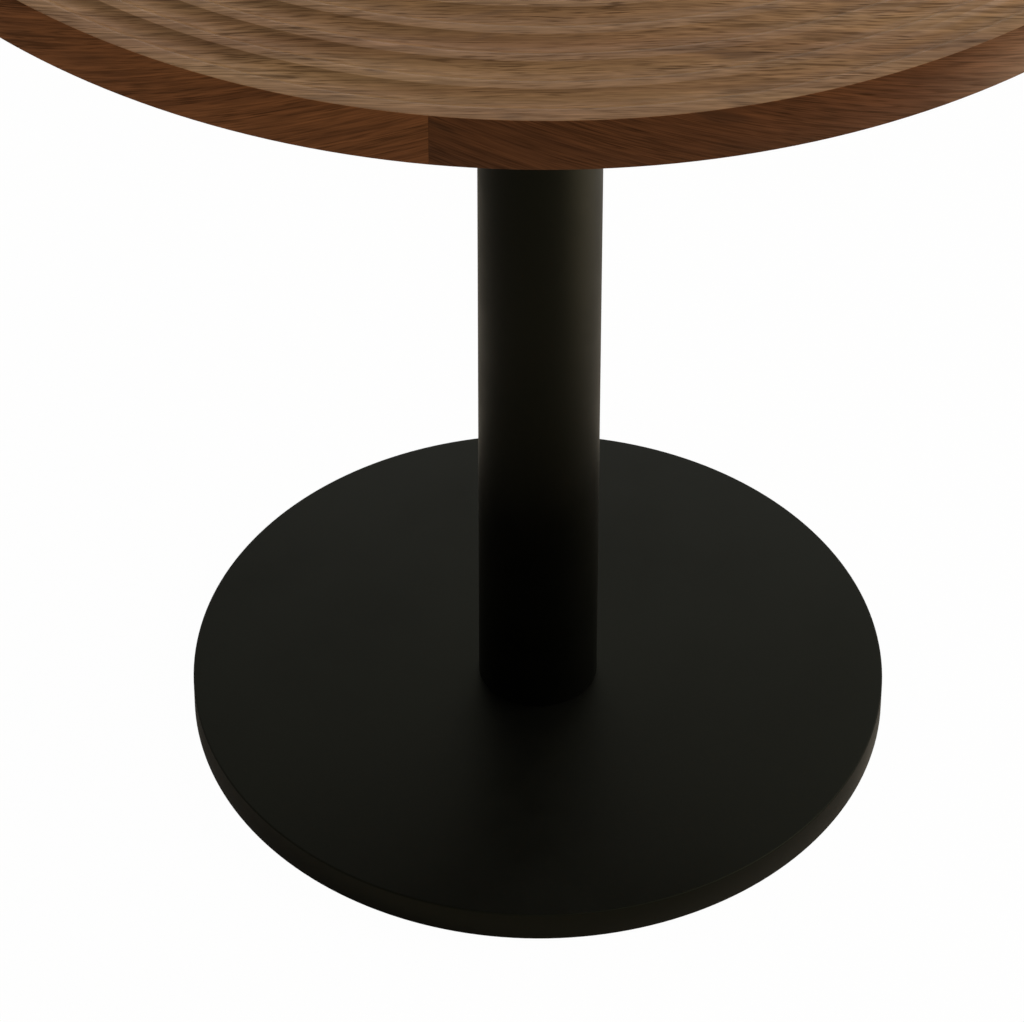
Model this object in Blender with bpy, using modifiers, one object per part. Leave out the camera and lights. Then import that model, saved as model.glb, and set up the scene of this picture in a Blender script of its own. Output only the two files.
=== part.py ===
"""Round pedestal dining table with a grooved wooden top on a steel column and a flat steel base.

A tie rod clamps base, column and mounting plate together. The top is screwed to the plate from below,
and four levelling glides screw in and out of the base.
Units are metres, +Z is up, and the origin is on the floor below the middle of the column.
"""
import math

import bmesh
import bpy
from mathutils import Matrix

# Overall sizes
TABLE_HEIGHT = 0.770
TOP_DIAMETER = 0.800
TOP_THICKNESS = 0.030
COLUMN_DIAMETER = 0.070
COLUMN_WALL = 0.0025
BASE_DIAMETER = 0.410
BASE_THICKNESS = 0.020
BASE_EDGE_BEVEL = 0.001

# Grooves turned into the top: round-bottomed, evenly spaced, with flat lands between them
GROOVE_PITCH = 0.0208
GROOVE_WIDTH = 0.0148
GROOVE_DEPTH = 0.0028
GROOVE_ARC_SEGMENTS = 3
RIM_LAND = 0.0090
CENTRE_DISC_LEAST_RADIUS = 0.015

# Two edge bands round the top, with one of their two butt joints left of the front (-Y)
BAND_THICKNESS = 0.0015
BAND_EASED_EDGE = 0.0006
BAND_JOINT_WIDTH = 0.0004
BAND_JOINT_AZIMUTH = math.radians(-97.6)

# Mounting plate under the top
PLATE_DIAMETER = 0.320
PLATE_THICKNESS = 0.006
SPIGOT_HEIGHT = 0.012
SPIGOT_LEAD_IN = 0.002

# Tie rod, nuts and washers
ROD_DIAMETER = 0.014
ROD_PROJECTION = 0.002
NUT_ACROSS_FLATS = 0.021
NUT_HEIGHT = 0.008
WASHER_DIAMETER = 0.028
WASHER_THICKNESS = 0.0025
WRENCH_POCKET_DIAMETER = 0.036

# Screws and threaded inserts that hold the top
SCREW_COUNT = 6
SCREW_PLATE_INSET = 0.022
SCREW_DIAMETER = 0.006
SCREW_LENGTH = 0.016
SCREW_HEAD_DIAMETER = 0.014
SCREW_HEAD_HEIGHT = 0.0035
SLOT_TRAVEL = 0.006
INSERT_DIAMETER = 0.010
INSERT_LENGTH = 0.012
INSERT_BORE_SPARE_DEPTH = 0.002

# Levelling glides
GLIDE_COUNT = 4
GLIDE_RIM_INSET = 0.035
GLIDE_FIRST_AZIMUTH = math.radians(45.0)
PAD_DIAMETER = 0.030
PAD_THICKNESS = 0.008
PAD_BEVEL = 0.001
PAD_FLOOR = 0.002
PAD_KEY_HOLE_DIAMETER = 0.009
STUD_DIAMETER = 0.008
STUD_HEAD_DIAMETER = 0.014
STUD_HEAD_HEIGHT = 0.003
STUD_SOCKET_ACROSS_FLATS = 0.005
STUD_SOCKET_DEPTH = 0.002
BASE_GROUND_CLEARANCE = 0.003
BASE_SKIN_OVER_STUD = 0.003

# Clearances
SEAT_GAP = 0.0003
SPIGOT_CLEARANCE = 0.0003
ROD_CLEARANCE = 0.0005
SLOT_CLEARANCE = 0.0004
PAD_SIDE_CLEARANCE = 0.0015

# Facets round each kind of turned piece
TOP_STEPS = 52
PLATE_STEPS = 48
COLUMN_STEPS = 32
ROD_STEPS = 16
SCREW_STEPS = 12
PAD_STEPS = 16

SHARP_ANGLE = math.radians(35.0)
MERGE_DISTANCE = 0.00001
CUT_OVERSHOOT = 0.002

# Levels, from the floor up
BASE_BOTTOM = BASE_GROUND_CLEARANCE
BASE_TOP = BASE_BOTTOM + BASE_THICKNESS
TOP_FACE = TABLE_HEIGHT
TOP_UNDERSIDE = TOP_FACE - TOP_THICKNESS
PLATE_TOP = TOP_UNDERSIDE - SEAT_GAP
PLATE_BOTTOM = PLATE_TOP - PLATE_THICKNESS

# Sizes shared by pieces that fit together
PANEL_RADIUS = TOP_DIAMETER / 2 - BAND_THICKNESS - SEAT_GAP
ROD_HOLE_RADIUS = ROD_DIAMETER / 2 + ROD_CLEARANCE
ROD_END_ROOM = 2 * SEAT_GAP + WASHER_THICKNESS + NUT_HEIGHT + ROD_PROJECTION
WRENCH_POCKET_DEPTH = ROD_END_ROOM + SEAT_GAP
SPIGOT_RADIUS = COLUMN_DIAMETER / 2 - COLUMN_WALL - SPIGOT_CLEARANCE
SCREW_CIRCLE_RADIUS = PLATE_DIAMETER / 2 - SCREW_PLATE_INSET
GLIDE_CIRCLE_RADIUS = BASE_DIAMETER / 2 - GLIDE_RIM_INSET
PAD_RECESS_DEPTH = PAD_THICKNESS - BASE_GROUND_CLEARANCE + SEAT_GAP
STUD_HOLE_DEPTH = BASE_THICKNESS - BASE_SKIN_OVER_STUD


def clear_scene():
    """Remove every object that the scene starts with."""
    for obj in list(bpy.data.objects):
        bpy.data.objects.remove(obj)


def make_collection(name):
    """Add a collection to the scene and return it."""
    collection = bpy.data.collections.new(name)
    bpy.context.scene.collection.children.link(collection)
    return collection


def make_material(name, colour, roughness, metallic):
    """Return a plain Principled material."""
    material = bpy.data.materials.new(name)
    material.use_nodes = True
    shader = material.node_tree.nodes["Principled BSDF"]
    shader.inputs["Base Color"].default_value = (*colour, 1.0)
    shader.inputs["Roughness"].default_value = roughness
    shader.inputs["Metallic"].default_value = metallic
    return material


def on_circle(radius, azimuth):
    """Return the x and y of a point on a circle round the table's axis."""
    return radius * math.cos(azimuth), radius * math.sin(azimuth)


def azimuths(count, first):
    """Return evenly spaced angles round the table's axis."""
    return [first + 2 * math.pi * index / count for index in range(count)]


def add_object(name, mesh, collection, material=None):
    """Put a mesh into a collection as a named object."""
    obj = bpy.data.objects.new(name, mesh)
    collection.objects.link(obj)
    if material is not None and not mesh.materials:
        mesh.materials.append(material)
    return obj


def profile_mesh(name, points, closed):
    """Return a mesh of edges through (radius, height) points, for a Screw modifier."""
    outline = bmesh.new()
    verts = [outline.verts.new((radius, 0.0, height)) for radius, height in points]
    for start, end in zip(verts, verts[1:]):
        outline.edges.new((start, end))
    if closed:
        outline.edges.new((verts[-1], verts[0]))
    mesh = bpy.data.meshes.new(name)
    outline.to_mesh(mesh)
    outline.free()
    return mesh


def turned(name, points, steps, collection, material=None, closed=True):
    """Turn a profile round Z. The profile runs down its outer side, and is open where it meets the axis."""
    obj = add_object(name, profile_mesh(name, points, closed), collection, material)
    screw = obj.modifiers.new("Turn", "SCREW")
    screw.steps = steps
    screw.render_steps = steps
    screw.use_merge_vertices = True
    screw.merge_threshold = MERGE_DISTANCE
    return obj


def ring_profile(outer, inner, top, bottom):
    """Return the four corners of a plain ring's section."""
    return [(outer, top), (outer, bottom), (inner, bottom), (inner, top)]


def disc_profile(radius, top, bottom):
    """Return a plain disc's section, open at the axis."""
    return [(0.0, top), (radius, top), (radius, bottom), (0.0, bottom)]


def prism(name, sides, across_flats, top, bottom, collection):
    """Return a regular prism round Z, such as a nut's body or a key's socket."""
    shape = bmesh.new()
    radius = across_flats / 2 / math.cos(math.pi / sides)
    lift = Matrix.Translation((0.0, 0.0, (top + bottom) / 2))
    bmesh.ops.create_cone(shape, cap_ends=True, segments=sides, radius1=radius, radius2=radius,
                          depth=top - bottom, matrix=lift)
    mesh = bpy.data.meshes.new(name)
    shape.to_mesh(mesh)
    shape.free()
    return add_object(name, mesh, collection)


def as_cutter(obj):
    """Mark an object as a cutter that is not part of the table."""
    obj.hide_render = True
    obj.display_type = "WIRE"
    return obj


def cut(obj, cutter):
    """Take a cutter's shape out of an object."""
    boolean = obj.modifiers.new("Cut " + cutter.name, "BOOLEAN")
    boolean.operation = "DIFFERENCE"
    boolean.solver = "EXACT"
    boolean.object = cutter


def apply_modifiers(obj):
    """Turn an object's modifiers into its mesh, shaded smooth except at sharp edges."""
    bpy.context.view_layer.update()
    depsgraph = bpy.context.evaluated_depsgraph_get()
    mesh = bpy.data.meshes.new_from_object(obj.evaluated_get(depsgraph))
    mesh.shade_smooth()
    mesh.set_sharp_from_angle(angle=SHARP_ANGLE)
    mesh.name = obj.name
    obj.modifiers.clear()
    obj.data = mesh
    return obj


def place_copies(first, places, collection):
    """Number a finished piece and repeat it, with one shared mesh, at each of the places."""
    name = first.name
    mesh = first.data
    bpy.data.objects.remove(first)
    for number, place in enumerate(places, start=1):
        copy = add_object(f"{name}_{number}", mesh, collection)
        copy.location = place


def groove_outer_radii():
    """Return the outer edge radius of each groove, from the rim in to the plain disc in the middle."""
    radii = []
    outer = TOP_DIAMETER / 2 - RIM_LAND
    while outer - GROOVE_WIDTH > CENTRE_DISC_LEAST_RADIUS:
        radii.append(outer)
        outer -= GROOVE_PITCH
    return radii


def groove_arc(outer):
    """Return (radius, height) points across one groove, from its inner edge out to its outer edge."""
    half_width = GROOVE_WIDTH / 2
    arc_radius = (half_width ** 2 + GROOVE_DEPTH ** 2) / (2 * GROOVE_DEPTH)
    half_angle = 2 * math.atan(GROOVE_DEPTH / half_width)
    arc_centre = TOP_FACE - GROOVE_DEPTH + arc_radius
    points = []
    for index in range(GROOVE_ARC_SEGMENTS + 1):
        angle = half_angle * (2 * index / GROOVE_ARC_SEGMENTS - 1)
        height = arc_centre - arc_radius * math.cos(angle)
        points.append((outer - half_width + arc_radius * math.sin(angle), height))
    return points


def insert_places():
    """Return where the screws and their inserts stand on the underside of the top."""
    angles = azimuths(SCREW_COUNT, 0.0)
    return [(*on_circle(SCREW_CIRCLE_RADIUS, angle), 0.0) for angle in angles]


def many_holes(name, points, steps, places, collection):
    """Return one cutter with the same turned hole at several places."""
    pattern = apply_modifiers(turned(name, points, steps, collection, closed=False))
    holes = bmesh.new()
    for place in places:
        start = len(holes.verts)
        holes.from_mesh(pattern.data)
        holes.verts.ensure_lookup_table()
        bmesh.ops.translate(holes, verts=holes.verts[start:], vec=place)
    holes.to_mesh(pattern.data)
    holes.free()
    return as_cutter(pattern)


def build_top_panel(parts, cutters, wood):
    """Make the grooved top, with a pocket for the rod's end and blind holes for the inserts below."""
    points = [(0.0, TOP_FACE)]
    for outer in reversed(groove_outer_radii()):
        points.extend(groove_arc(outer))
    points += [(PANEL_RADIUS, TOP_FACE), (PANEL_RADIUS, TOP_UNDERSIDE), (0.0, TOP_UNDERSIDE)]
    panel = turned("top_panel", points, TOP_STEPS, parts, wood, closed=False)

    pocket_top = PLATE_TOP + WRENCH_POCKET_DEPTH
    pocket = disc_profile(WRENCH_POCKET_DIAMETER / 2, pocket_top, TOP_UNDERSIDE - CUT_OVERSHOOT)
    cut(panel, as_cutter(turned("rod_end_pocket", pocket, ROD_STEPS, cutters, closed=False)))

    bore_top = TOP_UNDERSIDE + INSERT_LENGTH + INSERT_BORE_SPARE_DEPTH
    bore = disc_profile(INSERT_DIAMETER / 2 + SEAT_GAP, bore_top, TOP_UNDERSIDE - CUT_OVERSHOOT)
    cut(panel, many_holes("insert_bores", bore, SCREW_STEPS, insert_places(), cutters))
    apply_modifiers(panel)


def other_half(name, side, cutters):
    """Return a block over one side of the plane through the band's joints, and half a joint's width beyond it."""
    block = bmesh.new()
    reach = TOP_DIAMETER + 2 * CUT_OVERSHOOT
    height = TOP_THICKNESS + 2 * CUT_OVERSHOOT
    middle = (0.0, side * (reach - BAND_JOINT_WIDTH) / 2, (TOP_FACE + TOP_UNDERSIDE) / 2)
    size = Matrix.Diagonal((reach, reach, height, 1.0))
    turn = Matrix.Rotation(BAND_JOINT_AZIMUTH, 4, "Z")
    bmesh.ops.create_cube(block, size=1.0, matrix=turn @ Matrix.Translation(middle) @ size)
    mesh = bpy.data.meshes.new(name)
    block.to_mesh(mesh)
    block.free()
    return as_cutter(add_object(name, mesh, cutters))


def build_edge_bands(parts, cutters, wood):
    """Make the two strips round the rim, which meet in a butt joint at the front and one at the back."""
    outer = TOP_DIAMETER / 2
    inner = outer - BAND_THICKNESS
    ease = BAND_EASED_EDGE
    points = [(outer - ease, TOP_FACE), (outer, TOP_FACE - ease), (outer, TOP_UNDERSIDE + ease),
              (outer - ease, TOP_UNDERSIDE), (inner, TOP_UNDERSIDE), (inner, TOP_FACE)]
    for name, removed_side in (("left", 1), ("right", -1)):
        band = turned("edge_band_" + name, points, TOP_STEPS, parts, wood)
        cut(band, other_half("band_ends_" + name, removed_side, cutters))
        apply_modifiers(band)


def slot_cutter(cutters):
    """Return one cutter with a slot across the grain (along Y) at every screw."""
    slots = bmesh.new()
    radius = SCREW_DIAMETER / 2 + SLOT_CLEARANCE
    half_step = Matrix.Rotation(math.pi / SCREW_STEPS, 4, "Z")
    middle = (PLATE_TOP + PLATE_BOTTOM) / 2
    depth = PLATE_THICKNESS + 2 * CUT_OVERSHOOT
    for x, y, _ in insert_places():
        made = bmesh.ops.create_cone(slots, cap_ends=True, segments=SCREW_STEPS, radius1=radius,
                                     radius2=radius, depth=depth, matrix=half_step)
        for vert in made["verts"]:
            vert.co.y += math.copysign(SLOT_TRAVEL / 2, vert.co.y)
        bmesh.ops.translate(slots, verts=made["verts"], vec=(x, y, middle))
    mesh = bpy.data.meshes.new("plate_slots")
    slots.to_mesh(mesh)
    slots.free()
    return as_cutter(add_object("plate_slots", mesh, cutters))


def build_top_plate(parts, cutters, steel):
    """Make the round mounting plate with its rod hole and slots."""
    points = ring_profile(PLATE_DIAMETER / 2, ROD_HOLE_RADIUS, PLATE_TOP, PLATE_BOTTOM)
    plate = turned("top_plate", points, PLATE_STEPS, parts, steel)
    cut(plate, slot_cutter(cutters))
    apply_modifiers(plate)


def build_column(parts, steel):
    """Make the column between base and plate, with a centring spigot inside each end."""
    radius = COLUMN_DIAMETER / 2
    tube = ring_profile(radius, radius - COLUMN_WALL, PLATE_BOTTOM - SEAT_GAP, BASE_TOP + SEAT_GAP)
    apply_modifiers(turned("column_tube", tube, COLUMN_STEPS, parts, steel))

    seat = PLATE_BOTTOM - SEAT_GAP
    upper = [(SPIGOT_RADIUS, seat), (SPIGOT_RADIUS, seat - SPIGOT_HEIGHT + SPIGOT_LEAD_IN),
             (SPIGOT_RADIUS - SPIGOT_LEAD_IN, seat - SPIGOT_HEIGHT),
             (ROD_HOLE_RADIUS, seat - SPIGOT_HEIGHT), (ROD_HOLE_RADIUS, seat)]
    apply_modifiers(turned("upper_spigot", upper, COLUMN_STEPS, parts, steel))

    seat = BASE_TOP + SEAT_GAP
    lower = [(SPIGOT_RADIUS - SPIGOT_LEAD_IN, seat + SPIGOT_HEIGHT),
             (SPIGOT_RADIUS, seat + SPIGOT_HEIGHT - SPIGOT_LEAD_IN), (SPIGOT_RADIUS, seat),
             (ROD_HOLE_RADIUS, seat), (ROD_HOLE_RADIUS, seat + SPIGOT_HEIGHT)]
    apply_modifiers(turned("lower_spigot", lower, COLUMN_STEPS, parts, steel))


def build_tie_rod(parts, cutters, steel):
    """Make the rod, and a washer and a nut at each end of it."""
    base_seat = BASE_BOTTOM + WRENCH_POCKET_DEPTH
    rod = disc_profile(ROD_DIAMETER / 2, PLATE_TOP + ROD_END_ROOM, base_seat - ROD_END_ROOM)
    apply_modifiers(turned("tie_rod", rod, ROD_STEPS, parts, steel, closed=False))

    bore_radius = ROD_DIAMETER / 2 + SEAT_GAP
    for end, seat, away in (("top", PLATE_TOP, 1), ("bottom", base_seat, -1)):
        near = seat + away * SEAT_GAP
        far = near + away * WASHER_THICKNESS
        washer = ring_profile(WASHER_DIAMETER / 2, ROD_HOLE_RADIUS, max(near, far), min(near, far))
        apply_modifiers(turned("rod_washer_" + end, washer, ROD_STEPS, parts, steel))

        near = far + away * SEAT_GAP
        far = near + away * NUT_HEIGHT
        nut = prism("rod_nut_" + end, 6, NUT_ACROSS_FLATS, max(near, far), min(near, far), parts)
        nut.data.materials.append(steel)
        bore = disc_profile(bore_radius, max(near, far) + CUT_OVERSHOOT, min(near, far) - CUT_OVERSHOOT)
        cut(nut, as_cutter(turned("nut_bore_" + end, bore, ROD_STEPS, cutters, closed=False)))
        apply_modifiers(nut)


def build_top_fixings(parts, brass, steel):
    """Make the inserts in the top and the flange-head screws that pull the plate up against it."""
    inner = SCREW_DIAMETER / 2 + SEAT_GAP
    insert = ring_profile(INSERT_DIAMETER / 2, inner, TOP_UNDERSIDE + INSERT_LENGTH, TOP_UNDERSIDE)
    first = apply_modifiers(turned("top_insert", insert, SCREW_STEPS, parts, brass))
    place_copies(first, insert_places(), parts)

    seat = PLATE_BOTTOM - SEAT_GAP
    shank = SCREW_DIAMETER / 2
    flange = SCREW_HEAD_DIAMETER / 2
    flange_height = SCREW_HEAD_HEIGHT / 3
    crown = (shank + flange) / 2
    screw = [(0.0, seat + SCREW_LENGTH), (shank, seat + SCREW_LENGTH), (shank, seat), (flange, seat),
             (flange, seat - flange_height), (crown, seat - SCREW_HEAD_HEIGHT),
             (0.0, seat - SCREW_HEAD_HEIGHT)]
    first = apply_modifiers(turned("top_screw", screw, SCREW_STEPS, parts, steel, closed=False))
    place_copies(first, insert_places(), parts)


def glide_places():
    """Return where the glides stand under the base."""
    angles = azimuths(GLIDE_COUNT, GLIDE_FIRST_AZIMUTH)
    return [(*on_circle(GLIDE_CIRCLE_RADIUS, angle), 0.0) for angle in angles]


def build_base(parts, cutters, steel):
    """Make the base plate with its rod hole, wrench pocket, and a recess and stud hole for each glide."""
    edge = BASE_DIAMETER / 2
    bevel = BASE_EDGE_BEVEL
    points = [(0.0, BASE_TOP), (edge - bevel, BASE_TOP), (edge, BASE_TOP - bevel),
              (edge, BASE_BOTTOM + bevel), (edge - bevel, BASE_BOTTOM), (0.0, BASE_BOTTOM)]
    base = turned("base_plate", points, PLATE_STEPS, parts, steel, closed=False)

    below = BASE_BOTTOM - CUT_OVERSHOOT
    pocket_top = BASE_BOTTOM + WRENCH_POCKET_DEPTH
    pocket_radius = WRENCH_POCKET_DIAMETER / 2
    rod_way = [(0.0, BASE_TOP + CUT_OVERSHOOT), (ROD_HOLE_RADIUS, BASE_TOP + CUT_OVERSHOOT),
               (ROD_HOLE_RADIUS, pocket_top), (pocket_radius, pocket_top), (pocket_radius, below),
               (0.0, below)]
    cut(base, as_cutter(turned("rod_way", rod_way, ROD_STEPS, cutters, closed=False)))

    hole_top = BASE_BOTTOM + STUD_HOLE_DEPTH
    recess_top = BASE_BOTTOM + PAD_RECESS_DEPTH
    hole_radius = STUD_DIAMETER / 2 + SEAT_GAP
    recess_radius = PAD_DIAMETER / 2 + PAD_SIDE_CLEARANCE
    recess = [(0.0, hole_top), (hole_radius, hole_top), (hole_radius, recess_top),
              (recess_radius, recess_top), (recess_radius, below), (0.0, below)]
    cut(base, many_holes("glide_recesses", recess, PAD_STEPS, glide_places(), cutters))
    apply_modifiers(base)


def build_glides(parts, cutters, plastic, steel):
    """Make the pads and the studs snapped into them. Each has its origin on its screw axis, on the floor."""
    room_bottom = PAD_FLOOR
    room_top = room_bottom + STUD_HEAD_HEIGHT + 2 * SEAT_GAP
    room_radius = STUD_HEAD_DIAMETER / 2 + SEAT_GAP
    neck_radius = STUD_DIAMETER / 2 + SEAT_GAP
    key_radius = PAD_KEY_HOLE_DIAMETER / 2
    outer = PAD_DIAMETER / 2
    pad = [(outer, PAD_THICKNESS), (outer, PAD_BEVEL), (outer - PAD_BEVEL, 0.0), (key_radius, 0.0),
           (key_radius, room_bottom), (room_radius, room_bottom), (room_radius, room_top),
           (neck_radius, room_top), (neck_radius, PAD_THICKNESS)]
    first = apply_modifiers(turned("glide_pad", pad, PAD_STEPS, parts, plastic))
    place_copies(first, glide_places(), parts)

    head_bottom = room_bottom + SEAT_GAP
    head_top = head_bottom + STUD_HEAD_HEIGHT
    stud_top = BASE_BOTTOM + STUD_HOLE_DEPTH - SEAT_GAP
    shank = STUD_DIAMETER / 2
    head = STUD_HEAD_DIAMETER / 2
    stud = [(0.0, stud_top), (shank, stud_top), (shank, head_top), (head, head_top), (head, head_bottom),
            (0.0, head_bottom)]
    first = turned("glide_stud", stud, PAD_STEPS, parts, steel, closed=False)
    socket = prism("glide_socket", 6, STUD_SOCKET_ACROSS_FLATS, head_bottom + STUD_SOCKET_DEPTH,
                   head_bottom - CUT_OVERSHOOT, cutters)
    cut(first, as_cutter(socket))
    place_copies(apply_modifiers(first), glide_places(), parts)


def main():
    """Build the whole table."""
    clear_scene()
    parts = make_collection("round_dining_table")
    cutters = make_collection("cutters")
    wood = make_material("walnut", (0.150, 0.082, 0.042), 0.45, 0.0)
    band_wood = make_material("walnut_edge", (0.110, 0.055, 0.028), 0.45, 0.0)
    black_steel = make_material("black_powder_coat", (0.012, 0.012, 0.010), 0.55, 0.0)
    bare_steel = make_material("zinc_plated_steel", (0.62, 0.63, 0.64), 0.35, 1.0)
    brass = make_material("brass", (0.72, 0.52, 0.22), 0.35, 1.0)
    plastic = make_material("black_plastic", (0.020, 0.020, 0.020), 0.60, 0.0)

    build_top_panel(parts, cutters, wood)
    build_edge_bands(parts, cutters, band_wood)
    build_top_plate(parts, cutters, black_steel)
    build_column(parts, black_steel)
    build_base(parts, cutters, black_steel)
    build_tie_rod(parts, cutters, bare_steel)
    build_top_fixings(parts, brass, bare_steel)
    build_glides(parts, cutters, plastic, bare_steel)


main()
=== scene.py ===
"""Looks of the round pedestal dining table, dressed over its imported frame.

Finely turned meshes stand for the faceted solids, and procedural finishes give oiled walnut,
matt black powder coat, zinc plating, brass and moulded nylon. Units are metres and +Z is up.
"""
import logging
import math
from dataclasses import dataclass
from enum import Enum
from typing import Callable, Union

import bmesh
import bpy
from mathutils import Matrix, Vector

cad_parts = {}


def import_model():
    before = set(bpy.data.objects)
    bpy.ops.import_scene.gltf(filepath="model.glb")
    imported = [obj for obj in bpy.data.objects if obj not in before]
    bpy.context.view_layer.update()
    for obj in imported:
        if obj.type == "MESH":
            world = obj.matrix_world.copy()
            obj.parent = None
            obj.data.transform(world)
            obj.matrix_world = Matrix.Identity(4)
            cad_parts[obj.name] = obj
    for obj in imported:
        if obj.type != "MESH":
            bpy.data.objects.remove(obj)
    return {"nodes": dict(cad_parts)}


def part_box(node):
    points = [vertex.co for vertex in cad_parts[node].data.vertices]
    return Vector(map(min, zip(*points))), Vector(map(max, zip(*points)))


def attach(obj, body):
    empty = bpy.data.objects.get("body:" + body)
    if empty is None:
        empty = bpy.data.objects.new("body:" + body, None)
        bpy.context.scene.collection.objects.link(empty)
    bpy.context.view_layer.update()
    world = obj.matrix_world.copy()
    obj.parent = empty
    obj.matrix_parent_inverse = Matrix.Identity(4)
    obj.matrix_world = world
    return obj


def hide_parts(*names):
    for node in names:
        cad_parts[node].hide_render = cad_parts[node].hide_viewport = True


LOG = logging.getLogger("round_dining_table")
STANDING_BODY = "table"
SCREW_COUNT = 6
GLIDE_COUNT = 4
MERGE_DISTANCE = 0.000002
EDGE_TOLERANCE = 10 * MERGE_DISTANCE
CREASE_ANGLE = math.radians(32.0)
ROUND_PROFILE = 0.5
NOISE_MIDDLE = 0.5
HEXAGON = 6
ON_AXIS = (0.0, 0.0)
ORIGIN = (0.0, 0.0, 0.0)
UP = (0.0, 0.0, 1.0)
WHITE = (1.0, 1.0, 1.0)

Point = tuple[float, float]
Span = tuple[float, float]
Triple = tuple[float, float, float]
Colour = Triple
Shape = bmesh.types.BMesh
Verts = list[bmesh.types.BMVert]
Edges = list[bmesh.types.BMEdge]
Faces = list[bmesh.types.BMFace]
Socket = bpy.types.NodeSocket
Tree = bpy.types.NodeTree
SocketValue = Union[float, Triple, tuple[float, float, float, float], Socket]


class Side(Enum):
    """The two halves of the rim, as the camera sees them."""

    LEFT = -1
    RIGHT = 1


class GrainSource(Enum):
    """Where a wood finish reads the direction of its grain."""

    OBJECT = "Object"
    STRIP = "UV"


class End(Enum):
    """The two ends of the tie rod, by the way they point."""

    TOP = 1
    BOTTOM = -1


# Frame

@dataclass(frozen=True)
class NodeBox:
    """The box of one solid of the frame, at rest."""

    low: Vector
    high: Vector

    @classmethod
    def of(cls, node: str) -> "NodeBox":
        """Read the box of a node."""
        low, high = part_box(node)
        return cls(Vector(low), Vector(high))

    @classmethod
    def row(cls, prefix: str, count: int) -> list["NodeBox"]:
        """Read the boxes of nodes that are numbered from 1."""
        return [cls.of(f"{prefix}_{number}") for number in range(1, count + 1)]

    @property
    def top(self) -> float:
        """Highest level of the node."""
        return self.high.z

    @property
    def bottom(self) -> float:
        """Lowest level of the node."""
        return self.low.z

    @property
    def reach(self) -> float:
        """Largest distance from the table's axis along X or Y."""
        return max(-self.low.x, self.high.x, -self.low.y, self.high.y)

    @property
    def centre(self) -> Point:
        """Middle of the node in plan."""
        return ((self.low.x + self.high.x) / 2, (self.low.y + self.high.y) / 2)

    @property
    def half_width(self) -> float:
        """Half of the node's width along X."""
        return (self.high.x - self.low.x) / 2

    def ring(self, bore: float) -> list[Point]:
        """Return the section of a ring that fills the box round a bore."""
        return [(self.reach, self.bottom), (self.reach, self.top), (bore, self.top), (bore, self.bottom)]


# Shaping tools

def of_kind(items: list, kind: type) -> list:
    """Return the items that are vertices, edges or faces, as the kind says."""
    return [item for item in items if isinstance(item, kind)]


def wire(shape: Shape, section: list[Point], closed: bool = False) -> Verts:
    """Draw a section as a line of edges in the XZ plane.

    Args:
        shape: The mesh that gets the line.
        section: Points as (radius, height).
        closed: Whether the last point joins the first.

    Returns:
        The line's vertices, in order.
    """
    points = [shape.verts.new((radius, 0.0, height)) for radius, height in section]
    for start, end in zip(points, points[1:] + points[:1] if closed else points[1:]):
        shape.edges.new((start, end))
    return points


def turn_round(shape: Shape, steps: int) -> None:
    """Spin everything in a mesh once round the Z axis, in so many steps, and close it up."""
    bmesh.ops.spin(shape, geom=shape.verts[:] + shape.edges[:], cent=ORIGIN, axis=UP, angle=math.tau,
                   steps=steps, use_merge=True, use_duplicate=False)
    tidy(shape)


def tidy(shape: Shape) -> None:
    """Merge doubled vertices and point the faces outwards."""
    bmesh.ops.remove_doubles(shape, verts=shape.verts, dist=MERGE_DISTANCE)
    bmesh.ops.recalc_face_normals(shape, faces=shape.faces)


def ease(shape: Shape, parts: list, offset: float, segments: int, kind: str = "VERTICES") -> None:
    """Round some VERTICES or EDGES, as the kind says, over an offset and in so many segments."""
    bmesh.ops.bevel(shape, geom=parts, offset=offset, offset_type="OFFSET", segments=segments,
                    profile=ROUND_PROFILE, affect=kind, material=-1)


def turned(section: list[Point], steps: int, closed: bool = False, eased: float = 0.0,
           ease_segments: int = 2) -> Shape:
    """Turn a section into a round body.

    Args:
        section: Points as (radius, height).
        steps: How many facets the full turn has.
        closed: Whether the section is a ring clear of the axis.
        eased: How far the corners clear of the axis are rounded.
        ease_segments: How many facets a rounded corner has.

    Returns:
        The turned mesh.
    """
    shape = bmesh.new()
    points = wire(shape, section, closed)
    if eased > 0.0:
        ease(shape, [point for point in points if len(point.link_edges) == 2], eased, ease_segments)
    turn_round(shape, steps)
    return shape


def open_edges(shape: Shape) -> Edges:
    """Return the edges with a face on one side only."""
    return [edge for edge in shape.edges if edge.is_boundary]


def edges_of(verts: Verts) -> Edges:
    """Return the edges at some vertices, each once and in order."""
    return list(dict.fromkeys(edge for vert in verts for edge in vert.link_edges))


def ring_of_edges(shape: Shape, centre: Point, radius: float, level: float, corners: int) -> Edges:
    """Add a flat loop of edges, round or with a few corners at a radius, and return it."""
    made = bmesh.ops.create_circle(shape, cap_ends=False, segments=corners, radius=radius,
                                   matrix=Matrix.Translation((*centre, level)))
    return edges_of(made["verts"])


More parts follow.
